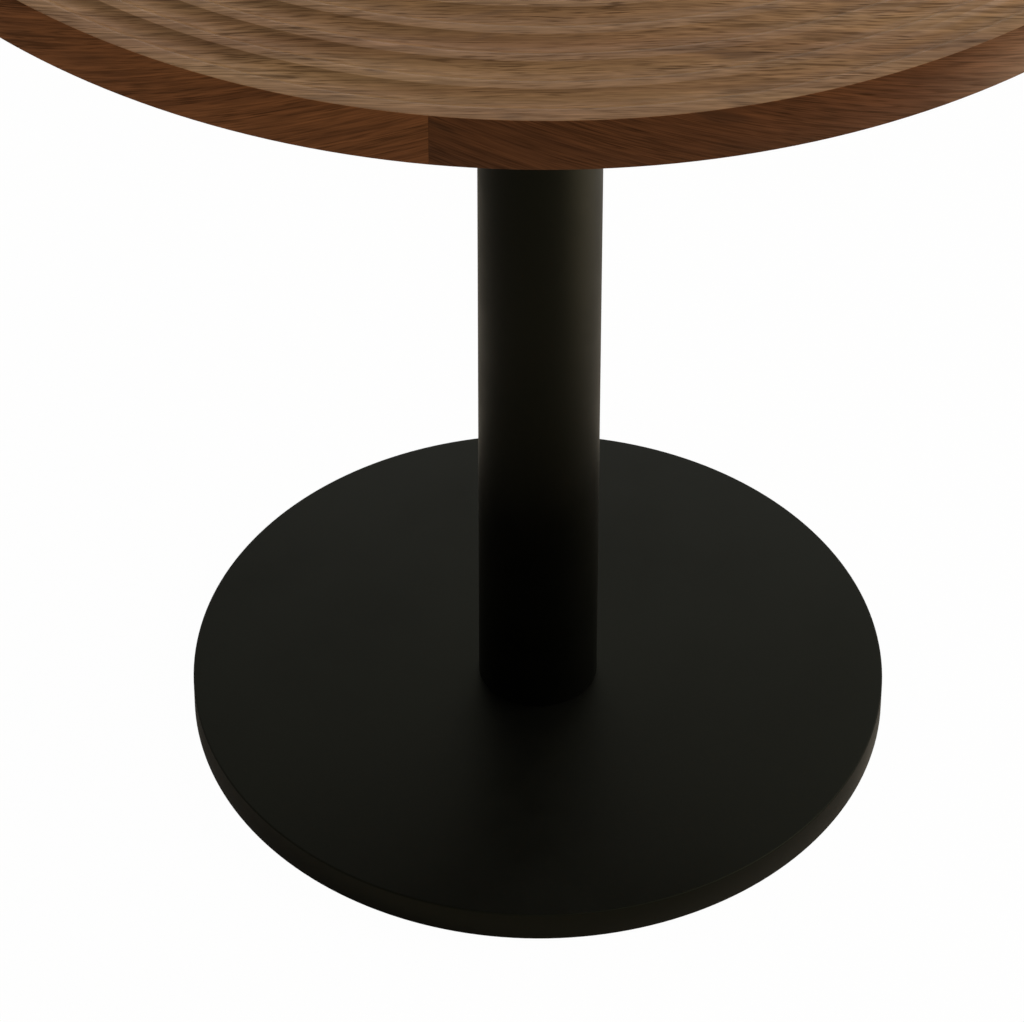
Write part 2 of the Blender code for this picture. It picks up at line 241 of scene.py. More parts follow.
def slot_of_edges(shape: Shape, centre: Point, radius: float, travel: float, level: float,
                  corners: int) -> Edges:
    """Add the outline of a slot that is longer along Y.

    Args:
        shape: The mesh that gets the outline.
        centre: Middle of the slot in plan.
        radius: Half of the slot's width.
        travel: How much longer than wide the slot is.
        level: Height of the outline.
        corners: How many corners the two round ends have together.

    Returns:
        The outline's edges.
    """
    half_step = Matrix.Rotation(math.pi / corners, 4, "Z")
    made = bmesh.ops.create_circle(shape, cap_ends=False, segments=corners, radius=radius, matrix=half_step)
    for way in (1, -1):
        round_end = [vert for vert in made["verts"] if way * vert.co.y > 0.0]
        bmesh.ops.translate(shape, verts=round_end, vec=(0.0, way * travel / 2, 0.0))
    bmesh.ops.translate(shape, verts=made["verts"], vec=(*centre, level))
    return edges_of(made["verts"])


def fill_between(shape: Shape, loops: Edges) -> Faces:
    """Fill a flat face inside its outer loop and round the loops of its holes, and return its faces."""
    made = bmesh.ops.triangle_fill(shape, use_beauty=True, use_dissolve=False, edges=loops)
    return of_kind(made["geom"], bmesh.types.BMFace)


def sink(shape: Shape, loop: Edges, centre: Point, turns: list[Point], capped: bool = True) -> None:
    """Carry the rim of a hole inwards through a row of steps.

    Args:
        shape: The mesh that has the hole.
        loop: Edges of the hole's rim.
        centre: Middle of the hole in plan.
        turns: Steps as (size against the rim so far, level).
        capped: Whether the last step is closed by a face.
    """
    to_centre = Matrix.Translation((-centre[0], -centre[1], 0.0))
    for size, level in turns:
        made = bmesh.ops.extrude_edge_only(shape, edges=loop)["geom"]
        verts = of_kind(made, bmesh.types.BMVert)
        loop = [edge for edge in of_kind(made, bmesh.types.BMEdge) if edge.is_boundary]
        bmesh.ops.scale(shape, verts=verts, vec=(size, size, 1.0), space=to_centre)
        bmesh.ops.translate(shape, verts=verts, vec=(0.0, 0.0, level - verts[0].co.z))
    if capped:
        bmesh.ops.edgeloop_fill(shape, edges=loop)


def thicken(shape: Shape, faces: Faces, height: float) -> None:
    """Raise flat faces into a closed plate.

    Args:
        shape: The mesh that has the faces.
        faces: The faces of the plate's underside.
        height: The plate's thickness.
    """
    made = bmesh.ops.extrude_face_region(shape, geom=faces, use_keep_orig=True)["geom"]
    bmesh.ops.translate(shape, verts=of_kind(made, bmesh.types.BMVert), vec=(0.0, 0.0, height))
    tidy(shape)


def hexagon(shape: Shape, across_flats: float, level: float) -> Edges:
    """Add a hexagon of edges round the axis."""
    return ring_of_edges(shape, ON_AXIS, across_flats / math.sqrt(3.0), level, HEXAGON)


def close_with_socket(shape: Shape, across_flats: float, level: float, depth: float) -> None:
    """Close the open underside of a screw's head round a hexagon socket.

    Args:
        shape: The turned screw, open at its head.
        across_flats: The socket's width.
        level: Height of the head's face.
        depth: How deep the socket goes.
    """
    rim = open_edges(shape)
    socket = hexagon(shape, across_flats, level)
    fill_between(shape, rim + socket)
    sink(shape, socket, ON_AXIS, [(1.0, level + depth)])
    tidy(shape)


def put_in_scene(name: str, data: bpy.types.ID) -> bpy.types.Object:
    """Make an object and link it.

    Args:
        name: The object's name.
        data: Its mesh, light or camera.

    Returns:
        The new object.
    """
    made = bpy.data.objects.new(name, data)
    bpy.context.scene.collection.objects.link(made)
    return made


def moved(shape: Shape, place: Point) -> Shape:
    """Move a mesh sideways to its place and hand it back."""
    bmesh.ops.translate(shape, verts=shape.verts, vec=(*place, 0.0))
    return shape


@dataclass(frozen=True)
class Piece:
    """How one finished mesh joins the table."""

    name: str
    node: str
    slot: str
    body: str = STANDING_BODY

    def make(self, shape: Shape, *finishes: bpy.types.Material) -> None:
        """Turn a shape into an object that stands for its node.

        Args:
            shape: The finished mesh, which is used up.
            finishes: The materials that dress it, in the order of its faces' numbers.
        """
        mesh = bpy.data.meshes.new(self.name)
        shape.to_mesh(mesh)
        shape.free()
        mesh.shade_smooth()
        mesh.set_sharp_from_angle(angle=CREASE_ANGLE)
        for finish in finishes:
            mesh.materials.append(finish)
        piece = put_in_scene(self.name, mesh)
        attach(piece, self.body)
        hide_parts(self.node)
        LOG.info("%s: %d faces, on %s", self.name, len(mesh.polygons), self.body)

    def stand_in(self, maker: Callable[[NodeBox], Shape], *finishes: bpy.types.Material) -> None:
        """Make the piece with a method that shapes it from the box of its node."""
        self.make(maker(NodeBox.of(self.node)), *finishes)


# Finishes

@dataclass(frozen=True)
class NoiseLayer:
    """One noise of a finish: its cells per metre along each axis, and its finer layers."""

    cells: Triple
    detail: float = 2.0
    roughness: float = 0.5
    distortion: float = 0.0


class NodePen:
    """Adds the nodes of one tree and wires them."""

    COLOUR_FACTOR, COLOUR_A, COLOUR_B, COLOUR_RESULT = 0, 6, 7, 2

    def __init__(self, tree: Tree) -> None:
        """Start with an empty tree."""
        self.tree = tree
        tree.nodes.clear()

    def add(self, kind: str, inputs: Union[dict, None] = None, **settings: object) -> bpy.types.Node:
        """Add a node.

        Args:
            kind: The node's type.
            inputs: Values or sockets by the name or number of the input they go to.
            settings: The node's own properties.

        Returns:
            The new node.
        """
        node = self.tree.nodes.new(kind)
        for name, value in settings.items():
            setattr(node, name, value)
        for name, value in (inputs or {}).items():
            self.put(value, node.inputs[name])
        return node

    def put(self, value: SocketValue, socket: Socket) -> None:
        """Link a socket to an input, or set a value on it.

        Args:
            value: The value, or the socket that it comes from.
            socket: The input.
        """
        if isinstance(value, Socket):
            self.tree.links.new(value, socket)
        else:
            socket.default_value = value

    def calc(self, first: SocketValue, second: SocketValue, operation: str = "ADD") -> Socket:
        """Work out a value from two others with a Math node."""
        return self.add("ShaderNodeMath", {0: first, 1: second}, operation=operation).outputs[0]

    def span(self, value: Socket, low: float, high: float, to_low: float = 0.0,
             to_high: float = 1.0) -> Socket:
        """Map the span from low to high to another, and hold it there."""
        inputs = {"Value": value, "From Min": low, "From Max": high, "To Min": to_low, "To Max": to_high}
        return self.add("ShaderNodeMapRange", inputs, clamp=True).outputs[0]

    def mix(self, factor: SocketValue, first: SocketValue, second: SocketValue, blend: str = "MIX") -> Socket:
        """Mix two colours by the share of the second one."""
        inputs = {self.COLOUR_FACTOR: factor, self.COLOUR_A: opaque(first), self.COLOUR_B: opaque(second)}
        return self.add("ShaderNodeMix", inputs, data_type="RGBA",
                        blend_type=blend).outputs[self.COLOUR_RESULT]

    def noise(self, place: Socket, layer: NoiseLayer) -> Socket:
        """Add a noise.

        Args:
            place: Coordinates in metres.
            layer: Its cells and finer layers.

        Returns:
            The noise's value, from 0 to 1.
        """
        mapping = self.add("ShaderNodeMapping", {"Vector": place, "Scale": layer.cells})
        inputs = {"Vector": mapping.outputs[0], "Scale": 1.0, "Detail": layer.detail,
                  "Roughness": layer.roughness, "Distortion": layer.distortion}
        return self.add("ShaderNodeTexNoise", inputs).outputs[0]


def opaque(colour: SocketValue) -> SocketValue:
    """Give a plain colour its alpha, and pass a socket through."""
    return (*colour, 1.0) if isinstance(colour, tuple) and len(colour) == 3 else colour


def empty_group(name: str, inputs: dict[str, str],
                outputs: list[str]) -> tuple[NodePen, dict, bpy.types.Node]:
    """Start a shader node group.

    Args:
        name: The group's name.
        inputs: Type of each input by its name.
        outputs: Names of the values that it puts out.

    Returns:
        The pen that draws in it, its inputs' sockets by name, and its output node.
    """
    tree = bpy.data.node_groups.new(name, "ShaderNodeTree")
    for label, kind in inputs.items():
        tree.interface.new_socket(name=label, in_out="INPUT", socket_type=kind)
    for label in outputs:
        tree.interface.new_socket(name=label, in_out="OUTPUT", socket_type="NodeSocketFloat")
    pen = NodePen(tree)
    entry = pen.add("NodeGroupInput")
    return pen, {label: entry.outputs[label] for label in inputs}, pen.add("NodeGroupOutput")


@dataclass(frozen=True)
class WoodGrain:
    """The figure of walnut: bands, fibres, open pores and dark smudges along one direction."""

    name: str = "walnut_grain"
    wander: NoiseLayer = NoiseLayer((3.4, 8.0, 8.0))
    band: NoiseLayer = NoiseLayer((1.3, 38.0, 38.0), 3.0, 0.55, 0.2)
    band_span: Span = (0.30, 0.70)
    fibre: NoiseLayer = NoiseLayer((12.0, 300.0, 300.0), 3.0, 0.6, 0.3)
    hair: NoiseLayer = NoiseLayer((34.0, 720.0, 720.0), 2.0, 0.6, 0.2)
    strand_span: Span = (0.36, 0.64)
    dash: NoiseLayer = NoiseLayer((72.0, 1100.0, 1100.0), 1.0, 0.5, 0.15)
    dash_span: Span = (0.47, 0.70)
    line: NoiseLayer = NoiseLayer((26.0, 720.0, 720.0), 0.5, 0.5, 0.3)
    line_span: Span = (0.58, 0.70)
    line_strength: float = 0.75
    pore_patch: NoiseLayer = NoiseLayer((11.0, 85.0, 85.0))
    pore_patch_span: Span = (0.34, 0.62)
    least_pores: float = 0.35
    smudge: NoiseLayer = NoiseLayer((17.0, 70.0, 70.0), 2.0, 0.5, 0.5)
    smudge_span: Span = (0.58, 0.76)

    def build(self) -> Tree:
        """Make the group. Its X runs along the fibres.

        Returns:
            The group's tree, with values from 0 to 1 for each part of the figure.
        """
        pen, entry, leave = empty_group(
            self.name, {"Place": "NodeSocketVector", "Wander": "NodeSocketFloat"},
            ["Band", "Fibre", "Pore", "Smudge"])
        drift = pen.calc(pen.noise(entry["Place"], self.wander), NOISE_MIDDLE, "SUBTRACT")
        aside = pen.add("ShaderNodeCombineXYZ", {"Y": pen.calc(drift, entry["Wander"], "MULTIPLY")})
        place = pen.add("ShaderNodeVectorMath", {0: entry["Place"], 1: aside.outputs[0]}).outputs[0]

        both = pen.calc(pen.noise(place, self.fibre), pen.noise(place, self.hair))
        strands = pen.calc(both, 1 / 2, "MULTIPLY")
        dashes = pen.span(pen.noise(place, self.dash), *self.dash_span)
        lines = pen.span(pen.noise(place, self.line), *self.line_span, 0.0, self.line_strength)
        smudge = pen.span(pen.noise(place, self.smudge), *self.smudge_span)
        patches = pen.span(pen.noise(place, self.pore_patch), *self.pore_patch_span, self.least_pores, 1.0)
        pores = pen.calc(dashes, lines, "MAXIMUM")
        patches = pen.calc(patches, smudge, "MAXIMUM")
        pen.put(pen.span(pen.noise(place, self.band), *self.band_span), leave.inputs["Band"])
        pen.put(pen.span(strands, *self.strand_span), leave.inputs["Fibre"])
        pen.put(pen.calc(pores, patches, "MULTIPLY"), leave.inputs["Pore"])
        pen.put(smudge, leave.inputs["Smudge"])
        return pen.tree


@dataclass(frozen=True)
class FineTexture:
    """The pebbled skin of powder coat, moulded plastic and plating, and the dust that settles on it."""

    name: str = "fine_surface"
    pebble_detail: float = 2.0
    pebble_roughness: float = 0.55
    mottle: NoiseLayer = NoiseLayer((9.0, 9.0, 9.0), 4.0, 0.6)
    mottle_span: Span = (0.3, 0.7)
    dust_drift_span: Span = (0.42, 0.66)
    speck: NoiseLayer = NoiseLayer((640.0, 640.0, 640.0), 1.0)
    speck_span: Span = (0.62, 0.74)
    upward_span: Span = (0.5, 0.95)

    def build(self) -> Tree:
        """Make the group.

        Returns:
            The group's tree, with a height, a mottle and a mask of settled dust, from 0 to 1.
        """
        pen, entry, leave = empty_group(
            self.name, {"Place": "NodeSocketVector", "Cells": "NodeSocketFloat"},
            ["Height", "Mottle", "Dust"])
        pebble = pen.add("ShaderNodeTexNoise", {
            "Vector": entry["Place"], "Scale": entry["Cells"], "Detail": self.pebble_detail,
            "Roughness": self.pebble_roughness}).outputs[0]
        mottle = pen.noise(entry["Place"], self.mottle)
        specks = pen.span(pen.noise(entry["Place"], self.speck), *self.speck_span)
        drifts = pen.span(mottle, *self.dust_drift_span)
        normal = pen.add("ShaderNodeNewGeometry").outputs["Normal"]
        upward = pen.span(pen.add("ShaderNodeSeparateXYZ", {0: normal}).outputs["Z"], *self.upward_span)
        dust = pen.calc(pen.calc(specks, drifts, "MULTIPLY"), upward, "MULTIPLY")
        pen.put(pebble, leave.inputs["Height"])
        pen.put(pen.span(mottle, *self.mottle_span), leave.inputs["Mottle"])
        pen.put(dust, leave.inputs["Dust"])
        return pen.tree


def new_material(name: str) -> tuple[NodePen, bpy.types.Material]:
    """Make a material with an empty tree.

    Args:
        name: The material's name.

    Returns:
        The pen that draws in its tree, and the material.
    """
    material = bpy.data.materials.new(name)
    material.use_nodes = True
    return NodePen(material.node_tree), material


@dataclass(frozen=True)
class WalnutFinish:
    """Oiled walnut, with its grain along X of the piece or along a strip. It can carry a painted highlight:
    colour and coat raised towards one end, standing in for light that grazes that end.
    """

    name: str
    source: GrainSource
    dark: Colour
    light: Colour
    oil_sheen: float
    pore: Colour = (0.032, 0.0125, 0.0036)
    pore_share: float = 0.74
    smudge_share: float = 0.50
    fibre_shades: Span = (0.69, 1.27)
    grain_turn: float = 0.0
    grain_lean: float = 0.0
    grain_offset: Triple = ORIGIN
    grain_length: float = 1.0
    grain_through: float = 0.15
    wander: float = 0.028
    # Painted highlight: over this span along X the colour and the coat weight are raised, standing in for
    # grazing light and sheen on the end of a strip.
    painted_highlight_start: float = 0.0
    painted_highlight_end: float = 1.0
    painted_highlight_gain: Colour = WHITE
    painted_highlight_coat_gain: float = 1.0
    specular: float = 0.06
    fibre_roughness: Span = (0.58, 0.47)
    pore_roughness: float = 0.18
    fibre_height: float = 0.25
    bump_strength: float = 0.35
    bump_depth: float = 0.00018
    oil_roughness: float = 0.40
    oil_index: float = 1.58
    sheen_left_in_pores: float = 0.25
    sheen_left_on_dark_fibre: float = 0.55
    nap: float = 0.0
    nap_roughness: float = 0.30
    nap_colour: Colour = (1.0, 0.84, 0.66)

    def painted_highlight(self, pen: NodePen, along: Socket, gain: float) -> Socket:
        """Return a factor that grows from 1 to a gain over the span of the painted highlight."""
        return pen.span(along, self.painted_highlight_start, self.painted_highlight_end, 1.0, gain)

    def build(self, grain: Tree) -> bpy.types.Material:
        """Make the material.

        Args:
            grain: The shared group with the figure of the wood.

        Returns:
            The finished material.
        """
        pen, material = new_material(self.name)
        where = pen.add("ShaderNodeTexCoord").outputs[self.source.value]
        aligned = pen.add("ShaderNodeMapping", {"Vector": where, "Location": self.grain_offset,
                                                "Rotation": (-self.grain_lean, 0.0, self.grain_turn)})
        stretch = (1.0 / self.grain_length, 1.0 / math.cos(self.grain_lean), self.grain_through)
        drawn_out = pen.add("ShaderNodeVectorMath", {0: aligned.outputs[0], 1: stretch}, operation="MULTIPLY")
        figure = pen.add("ShaderNodeGroup", {"Place": drawn_out.outputs[0], "Wander": self.wander},
                         node_tree=grain)
        band, fibre, pore = (figure.outputs[part] for part in ("Band", "Fibre", "Pore"))
        smudge = pen.calc(figure.outputs["Smudge"], self.smudge_share, "MULTIPLY")
        along = pen.add("ShaderNodeSeparateXYZ", {0: where}).outputs["X"]

        shade = pen.span(fibre, 0.0, 1.0, *self.fibre_shades)
        # Painted highlight: each colour channel of the fibre shade is raised towards the lit end.
        shades = {channel: pen.calc(shade, self.painted_highlight(pen, along, gain), "MULTIPLY")
                  for channel, gain in enumerate(self.painted_highlight_gain)}
        tint = pen.add("ShaderNodeCombineColor", shades).outputs[0]
        fibred = pen.mix(1.0, pen.mix(band, self.dark, self.light), tint, "MULTIPLY")
        smudged = pen.mix(smudge, fibred, self.pore)
        colour = pen.mix(pen.calc(pore, self.pore_share, "MULTIPLY"), smudged, self.pore)

        covered = pen.calc(pore, smudge, "MAXIMUM")
        sheen = pen.span(covered, 0.0, 1.0, self.oil_sheen, self.oil_sheen * self.sheen_left_in_pores)
        on_fibre = pen.span(fibre, 0.0, 1.0, self.sheen_left_on_dark_fibre, 1.0)
        # Painted sheen: the coat weight is raised towards the same lit end.
        sheen = pen.calc(pen.calc(sheen, on_fibre, "MULTIPLY"),
                         self.painted_highlight(pen, along, self.painted_highlight_coat_gain), "MULTIPLY")

        rough = pen.calc(pen.span(fibre, 0.0, 1.0, *self.fibre_roughness),
                         pen.calc(pore, self.pore_roughness, "MULTIPLY"))
        height = pen.calc(pen.calc(fibre, self.fibre_height, "MULTIPLY"), pore, "SUBTRACT")
        bump = pen.add("ShaderNodeBump", {"Strength": self.bump_strength, "Distance": self.bump_depth,
                                          "Height": height})
        skin = pen.add("ShaderNodeBsdfPrincipled", {
            "Base Color": colour, "Roughness": rough, "Specular IOR Level": self.specular,
            "Coat Weight": sheen, "Coat Roughness": self.oil_roughness, "Coat IOR": self.oil_index,
            "Sheen Weight": self.nap, "Sheen Roughness": self.nap_roughness,
            "Sheen Tint": opaque(self.nap_colour), "Normal": bump.outputs[0]})
        pen.add("ShaderNodeOutputMaterial", {"Surface": skin.outputs[0]})
        return material


@dataclass(frozen=True)
class CoatedFinish:
    """A plain skin with a fine texture: powder coat, moulded nylon, zinc plating or brass."""

    name: str
    colour: Colour
    mottled: Colour
    dust: Colour
    cells: float
    depth: float
    roughness: float
    roughness_spread: float = 0.08
    metallic: float = 0.0
    specular: float = 0.5
    specular_tint: Colour = WHITE
    dust_share: float = 0.3
    bump_strength: float = 0.6

    def build(self, texture: Tree) -> bpy.types.Material:
        """Make the material.

        Args:
            texture: The shared group with the fine skin and its dust.

        Returns:
            The finished material.
        """
        pen, material = new_material(self.name)
        where = pen.add("ShaderNodeTexCoord").outputs[GrainSource.OBJECT.value]
        skin_map = pen.add("ShaderNodeGroup", {"Place": where, "Cells": self.cells}, node_tree=texture)
        dusty = pen.calc(skin_map.outputs["Dust"], self.dust_share, "MULTIPLY")
        clean = pen.mix(skin_map.outputs["Mottle"], self.colour, self.mottled)
        colour = pen.mix(dusty, clean, self.dust)
        rough = pen.span(skin_map.outputs["Mottle"], 0.0, 1.0, self.roughness - self.roughness_spread,
                         self.roughness + self.roughness_spread)
        bump = pen.add("ShaderNodeBump", {"Strength": self.bump_strength, "Distance": self.depth,
                                          "Height": skin_map.outputs["Height"]})
        skin = pen.add("ShaderNodeBsdfPrincipled", {
            "Base Color": colour, "Roughness": pen.calc(rough, dusty), "Metallic": self.metallic,
            "Specular IOR Level": self.specular, "Specular Tint": opaque(self.specular_tint),
            "Normal": bump.outputs[0]})
        pen.add("ShaderNodeOutputMaterial", {"Surface": skin.outputs[0]})
        return material


class Finishes:
    """Every material of the table, made once."""

    def __init__(self) -> None:
        """Build the shared groups and the materials that use them."""
        grain = WoodGrain().build()
        texture = FineTexture().build()
        self.walnut = WalnutFinish(
            "oiled_walnut", GrainSource.OBJECT, dark=(0.151, 0.0573, 0.0081), light=(0.225, 0.1127, 0.0306),
            oil_sheen=1.0, grain_lean=math.radians(47.0), nap=0.15).build(grain)
        strip = {"source": GrainSource.STRIP, "grain_length": 1.4, "wander": 0.006, "pore_share": 0.70,
                 "oil_sheen": 0.22, "oil_roughness": 0.45}
        self.strips = {
            Side.LEFT: WalnutFinish(
                "walnut_strip_left", dark=(0.173, 0.0545, 0.0128), light=(0.265, 0.0925, 0.0252),
                grain_turn=math.radians(-24.0), **strip).build(grain),
            # The right strip's far end is painted lighter and glossier: a painted highlight for the light
            # that grazes it, not paler wood.
            Side.RIGHT: WalnutFinish(
                "walnut_strip_right", dark=(0.089, 0.0267, 0.0049), light=(0.139, 0.0436, 0.0090),
                grain_turn=math.radians(22.0), grain_offset=(0.4, 0.313, 0.0), painted_highlight_start=0.24, painted_highlight_end=0.34,
                painted_highlight_gain=(1.52, 1.80, 1.65), painted_highlight_coat_gain=3.6, **strip).build(grain),
        }
        self.powder_coat = CoatedFinish(
            "matt_black_powder_coat", colour=(0.0006, 0.0006, 0.0005), mottled=(0.0012, 0.0012, 0.0010),
            dust=(0.11, 0.105, 0.095), cells=1150.0, depth=0.00006, roughness=0.42, specular=0.112,
            specular_tint=(0.97, 1.0, 0.62), dust_share=0.010).build(texture)
        self.zinc = CoatedFinish(
            "zinc_plated_steel", colour=(0.56, 0.57, 0.58), mottled=(0.68, 0.69, 0.69),
            dust=(0.40, 0.38, 0.35), cells=420.0, depth=0.00003, roughness=0.34, metallic=1.0,
            dust_share=0.2).build(texture)
        self.brass = CoatedFinish(
            "plain_brass", colour=(0.66, 0.46, 0.18), mottled=(0.78, 0.58, 0.27),
            dust=(0.40, 0.34, 0.26), cells=380.0, depth=0.00003, roughness=0.36, metallic=1.0,
            dust_share=0.2).build(texture)
        self.nylon = CoatedFinish(
            "moulded_black_nylon", colour=(0.017, 0.017, 0.017), mottled=(0.024, 0.024, 0.023),
            dust=(0.12, 0.115, 0.105), cells=1600.0, depth=0.00005, roughness=0.58, specular=0.4,
            dust_share=0.15).build(texture)


# Sub-assemblies

@dataclass
class WalnutTop:
    """The grooved round top and the two strips round its rim."""

    groove_pitch: float = 0.0208
    groove_width: float = 0.0148
    groove_depth: float = 0.0028
    rim_land: float = 0.0090
    centre_disc_least_radius: float = 0.015
    inner_lip_radius: float = 0.0006
    outer_lip_radius: float = 0.0040
    arc_segments: int = 5
    lip_segments: int = 4
    strip_thickness: float = 0.0015
    strip_ease: float = 0.0003
    strip_ease_segments: int = 3
    upper_face_rise: float = 0.75
    joint_azimuth: float = math.radians(-97.6)
    joint_width: float = 0.00006
    furthest_round: float = math.pi * 1.2
    pocket_radius: float = 0.018
    rod_headroom_share: float = 0.05
    bore_radius: float = 0.0053
    bore_depth: float = 0.014
    steps: int = 256
    hole_steps: int = 24

    def __post_init__(self) -> None:
        """Read the top's sizes from the frame."""
        panel, rod = NodeBox.of("top_panel"), NodeBox.of("tie_rod")
        self.radius = max(NodeBox.of(f"edge_band_{side.name.lower()}").reach for side in Side)
        self.face = panel.top
        self.underside = panel.bottom
        self.pocket_top = rod.top + rod.half_width * self.rod_headroom_share
        self.inserts = [box.centre for box in NodeBox.row("top_insert", SCREW_COUNT)]

    def groove_side(self, lip_radius: float) -> list[Point]:
        """Return one side of a groove's round section, with its lip eased.

        Args:
            lip_radius: Radius of the eased lip.

        Returns:
            Points as (distance from the groove's middle, height), from the bottom to the flat land.
        """
        half_width = self.groove_width / 2
        arc_radius = (half_width ** 2 + self.groove_depth ** 2) / (2 * self.groove_depth)
        between_centres = arc_radius + lip_radius
        lip_start = math.sqrt(self.groove_depth * (2 * between_centres - self.groove_depth))
        tilt = math.asin(lip_start / between_centres)
        points = []
        for index in range(self.arc_segments + 1):
            angle = tilt * index / self.arc_segments
            points.append((arc_radius * math.sin(angle),
                           self.face - self.groove_depth + arc_radius * (1 - math.cos(angle))))
        for index in range(1, self.lip_segments + 1):
            angle = tilt * (1 - index / self.lip_segments)
            points.append((lip_start - lip_radius * math.sin(angle),
                           self.face - lip_radius * (1 - math.cos(angle))))
        return points

    def groove(self, outer: float) -> list[Point]:
        """Return the section of one groove.

        Args:
            outer: Radius of the groove's outer edge.

        Returns:
            Points as (radius, height) from the inner edge to the outer edge.
        """
        middle = outer - self.groove_width / 2
        inner_side = [(middle - away, height) for away, height in self.groove_side(self.inner_lip_radius)]
        outer_side = [(middle + away, height) for away, height in self.groove_side(self.outer_lip_radius)]
        return inner_side[:0:-1] + outer_side

    def groove_radii(self) -> list[float]:
        """Work out where the grooves lie.

        Returns:
            The outer radius of each groove, from the middle to the rim.
        """
        outermost = self.radius - self.rim_land
        room = outermost - self.groove_width - self.centre_disc_least_radius
        count = math.floor(room / self.groove_pitch) + 1
        return [outermost - self.groove_pitch * index for index in reversed(range(count))]

    def panel(self) -> Shape:
        """Turn the grooved panel and bore its underside.

        Returns:
            The panel's mesh.
        """
        shape = bmesh.new()
        edge = self.radius - self.strip_thickness
        section = [(0.0, self.face)]
        for outer in self.groove_radii():
            section += self.groove(outer)
        wire(shape, section + [(edge, self.face), (edge, self.underside)])
        turn_round(shape, self.steps)
        loops = open_edges(shape)
        pocket = ring_of_edges(shape, ON_AXIS, self.pocket_radius, self.underside, self.hole_steps * 2)
        bores = [ring_of_edges(shape, place, self.bore_radius, self.underside, self.hole_steps)
                 for place in self.inserts]
        fill_between(shape, loops + pocket + sum(bores, []))
        sink(shape, pocket, ON_AXIS, [(1.0, self.pocket_top)])
        for place, bore in zip(self.inserts, bores):
            sink(shape, bore, place, [(1.0, self.underside + self.bore_depth)])
        tidy(shape)
        return shape

    def strip(self, side: Side) -> Shape:
        """Bend one strip round half of the rim, with its length and width as its UV map.

        Its upper edge carries on the figure of the panel, and takes the second finish.

        Args:
            side: Which half the strip covers.

        Returns:
            The strip's mesh.
        """
        shape = bmesh.new()
        inner = self.radius - self.strip_thickness
        corners = [(inner, self.face), (self.radius, self.face), (self.radius, self.underside),
                   (inner, self.underside)]
        points = wire(shape, corners, closed=True)
        ease(shape, points[1:3], self.strip_ease, self.strip_ease_segments)
        end = bmesh.ops.edgeloop_fill(shape, edges=shape.edges)["faces"]
        margin = self.joint_width / 2 / self.radius
        start = self.joint_azimuth + side.value * margin
        bmesh.ops.rotate(shape, cent=ORIGIN, matrix=Matrix.Rotation(start, 3, "Z"), verts=shape.verts)
        bmesh.ops.spin(shape, geom=end, cent=ORIGIN, axis=UP, angle=side.value * (math.pi - 2 * margin),
                       steps=self.steps // 2, use_merge=False, use_duplicate=False)
        tidy(shape)
        self.unroll(shape)
        for face in shape.faces:
            face.material_index = int(face.normal.z > self.upper_face_rise)
        return shape

    def unroll(self, shape: Shape) -> None:
        """Give a strip a UV map in metres: along the rim from the front joint, and up.

        Args:
            shape: The strip's mesh.
        """
        uv_map = shape.loops.layers.uv.new("strip")
        for face in shape.faces:
            for loop in face.loops:
                place = loop.vert.co
                angle = math.atan2(place.y, place.x) - self.joint_azimuth
                angle = (angle + math.pi / 2) % math.tau - math.pi / 2
                around = angle if angle <= self.furthest_round else angle - math.tau
                inwards = self.radius - math.hypot(place.x, place.y)
                loop[uv_map].uv = (around * self.radius, place.z - self.underside + inwards)

    def build(self, finishes: Finishes) -> None:
        """Make and dress the panel and both strips.

        Args:
            finishes: The table's materials.
        """
        Piece("grooved_walnut_panel", "top_panel", "walnut").make(self.panel(), finishes.walnut)
        for side in Side:
            word = side.name.lower()
            piece = Piece(f"rim_strip_{word}", f"edge_band_{word}", "walnut_edge")
            piece.make(self.strip(side), finishes.strips[side], finishes.walnut)


